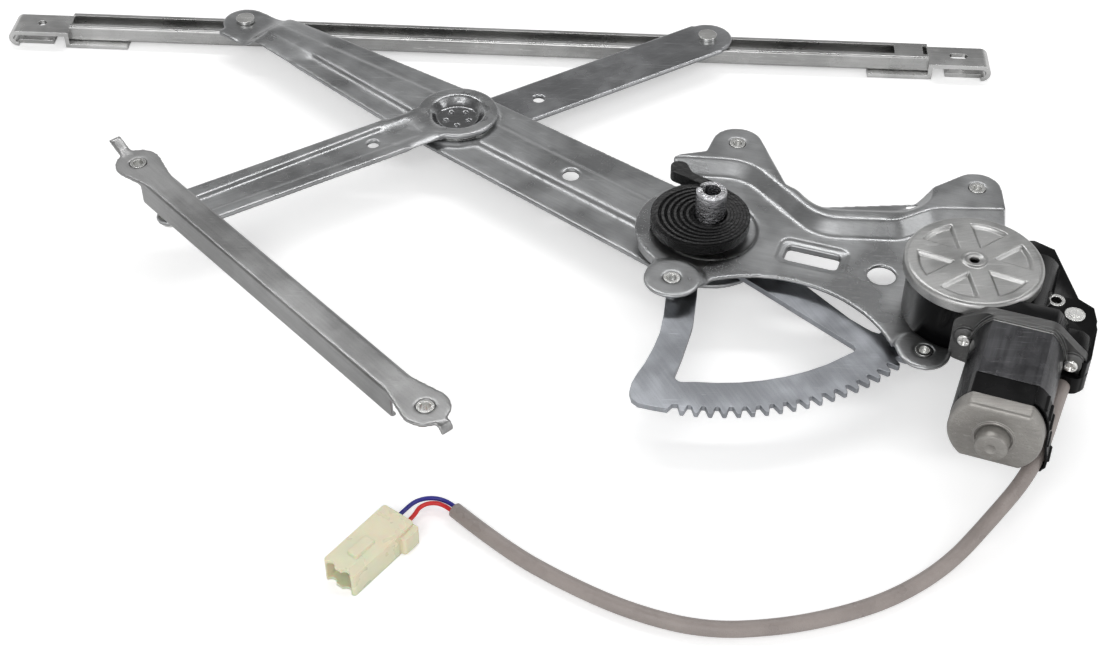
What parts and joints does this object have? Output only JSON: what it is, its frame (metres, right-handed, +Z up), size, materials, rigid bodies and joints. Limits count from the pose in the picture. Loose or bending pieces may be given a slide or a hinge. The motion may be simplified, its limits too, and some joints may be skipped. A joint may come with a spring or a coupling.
{
  "type": "window regulator",
  "caption": "Crossed-arm power window regulator: pressed lift arm with toothed sector, coil spring, geared motor, guide channel and glass rail.",
  "frame": {"origin": "middle of the base of the regulator's bounding box, cord left out, where it lies on its rail brackets", "axes": "+X along the lift rail towards the motor's side, +Y towards the rail, +Z up from the table, out of the plane of the arms"},
  "size_m": [0.5792, 0.435, 0.0638],
  "materials": {
    "pressed_steel": "bare rolled steel, satin, a little scuffed",
    "sector_steel": "bare bluish rolled steel, satin",
    "rail_steel": "bare folded steel, satin",
    "bright_steel": "bright zinc plate",
    "spring_steel": "black oiled strip, glossy with grease",
    "housing_plastic": "black glass-filled plastic, glossy",
    "black_plastic": "black plastic",
    "cover_steel": "pressed steel, satin",
    "cast_metal": "as cast, dull",
    "can_paint": "dark grey, brushed look",
    "cap_paint": "light warm grey, satin",
    "slider_plastic": "pale low-friction plastic",
    "bronze": "sintered bronze, oiled",
    "copper": "copper segments",
    "core_steel": "stacked sheets with varnished windings",
    "ferrite": "dark ceramic magnet",
    "wheel_plastic": "natural plastic",
    "damper_rubber": "black rubber",
    "sleeve_vinyl": "grey-brown soft tube",
    "wire_blue": "blue insulation",
    "wire_red": "red insulation",
    "connector_nylon": "natural nylon, slightly translucent"
  },
  "bodies": {
    "base": {"base_plate": "pressed_steel", "plate_weld_nuts": "bright_steel", "pivot_bush": "bright_steel", "counterbalance_spring": "spring_steel", "gear_housing": "housing_plastic", "gear_cover": "cover_steel", "flange_bracket": "cast_metal", "motor_can": "can_paint", "brush_holder": "black_plastic", "brushes": "core_steel", "end_cap": "cap_paint", "field_magnets": "ferrite", "armature_bushes": "bronze", "motor_screws": "bright_steel", "motor_bolts": "bright_steel", "mount_bush": "bright_steel", "threaded_insert": "bright_steel", "cable_strap": "black_plastic", "cable_grommet": "damper_rubber", "cable_sleeve": "sleeve_vinyl", "blue_wire": "wire_blue", "red_wire": "wire_red", "connector_housing": "connector_nylon", "connector_terminals": "bright_steel"},
    "lift_arm_body": {"lift_arm": "pressed_steel", "sector_gear": "sector_steel", "sector_rivets": "bright_steel", "pivot_shaft": "bright_steel", "lift_stud": "bright_steel"},
    "aux_arm_body": {"aux_arm_lower": "pressed_steel", "aux_arm_upper": "pressed_steel", "cross_washer": "bright_steel", "aux_stud": "bright_steel", "channel_stud": "bright_steel"},
    "lift_slider_body": {"lift_slider": "slider_plastic"},
    "rail_body": {"lift_rail": "rail_steel", "rail_bracket_left": "rail_steel", "rail_bracket_right": "rail_steel"},
    "aux_slider_body": {"aux_slider": "slider_plastic"},
    "channel_slider_body": {"channel_slider": "slider_plastic"},
    "channel_body": {"equalizer_channel": "pressed_steel", "channel_weld_nuts": "bright_steel"},
    "output_body": {"output_pinion": "bright_steel", "worm_wheel": "wheel_plastic", "drive_damper": "damper_rubber"},
    "armature_body": {"armature": "core_steel", "worm": "bright_steel", "commutator": "copper"}
  },
  "joints": [
    {"name": "window_lift", "type": "hinge", "parent": "base", "child": "lift_arm_body", "pos_m": [0.1169, -0.0218, 0.025], "axis": [0, 0, 1], "range_deg": [-4, 58]},
    {"name": "cross_joint", "type": "hinge", "parent": "lift_arm_body", "child": "aux_arm_body", "pos_m": [-0.01709, 0.07448, 0.022], "axis": [0, 0, 1], "range_deg": [-118, 10]},
    {"name": "lift_slider_turn", "type": "hinge", "parent": "lift_arm_body", "child": "lift_slider_body", "pos_m": [-0.15109, 0.17077, 0.008], "axis": [0, 0, 1], "range_deg": [-60, 6]},
    {"name": "rail_slide", "type": "slide", "parent": "lift_slider_body", "child": "rail_body", "axis": [1, 0, 0], "range_m": [-0.024, 0.06]},
    {"name": "aux_slider_turn", "type": "hinge", "parent": "aux_arm_body", "child": "aux_slider_body", "pos_m": [0.1169, 0.17077, 0.008], "axis": [0, 0, 1], "range_deg": [-6, 60]},
    {"name": "channel_swivel", "type": "hinge", "parent": "aux_arm_body", "child": "channel_slider_body", "pos_m": [-0.15109, -0.0218, 0.035], "axis": [0, 0, 1], "range_deg": [-45, 120]},
    {"name": "channel_slide", "type": "slide", "parent": "channel_slider_body", "child": "channel_body", "axis": [0.7096, -0.7046, 0], "range_m": [-0.175, 0]},
    {"name": "output_turn", "type": "hinge", "parent": "base", "child": "output_body", "pos_m": [0.23529, -0.0755, 0.03], "axis": [0, 0, 1], "range_deg": [-700, 60]},
    {"name": "motor_turn", "type": "hinge", "parent": "base", "child": "armature_body", "pos_m": [0.26245, -0.08381, 0.0465], "axis": [-0.2924, -0.9563, 0], "range_deg": [-42000, 3000]}
  ],
  "couplings": [
    {"joint": "cross_joint", "follows": "window_lift", "ratio": -2},
    {"joint": "lift_slider_turn", "follows": "window_lift", "ratio": -1},
    {"joint": "aux_slider_turn", "follows": "window_lift", "ratio": 1},
    {"joint": "output_turn", "follows": "window_lift", "ratio": -12},
    {"joint": "motor_turn", "follows": "window_lift", "ratio": -720}
  ]
}
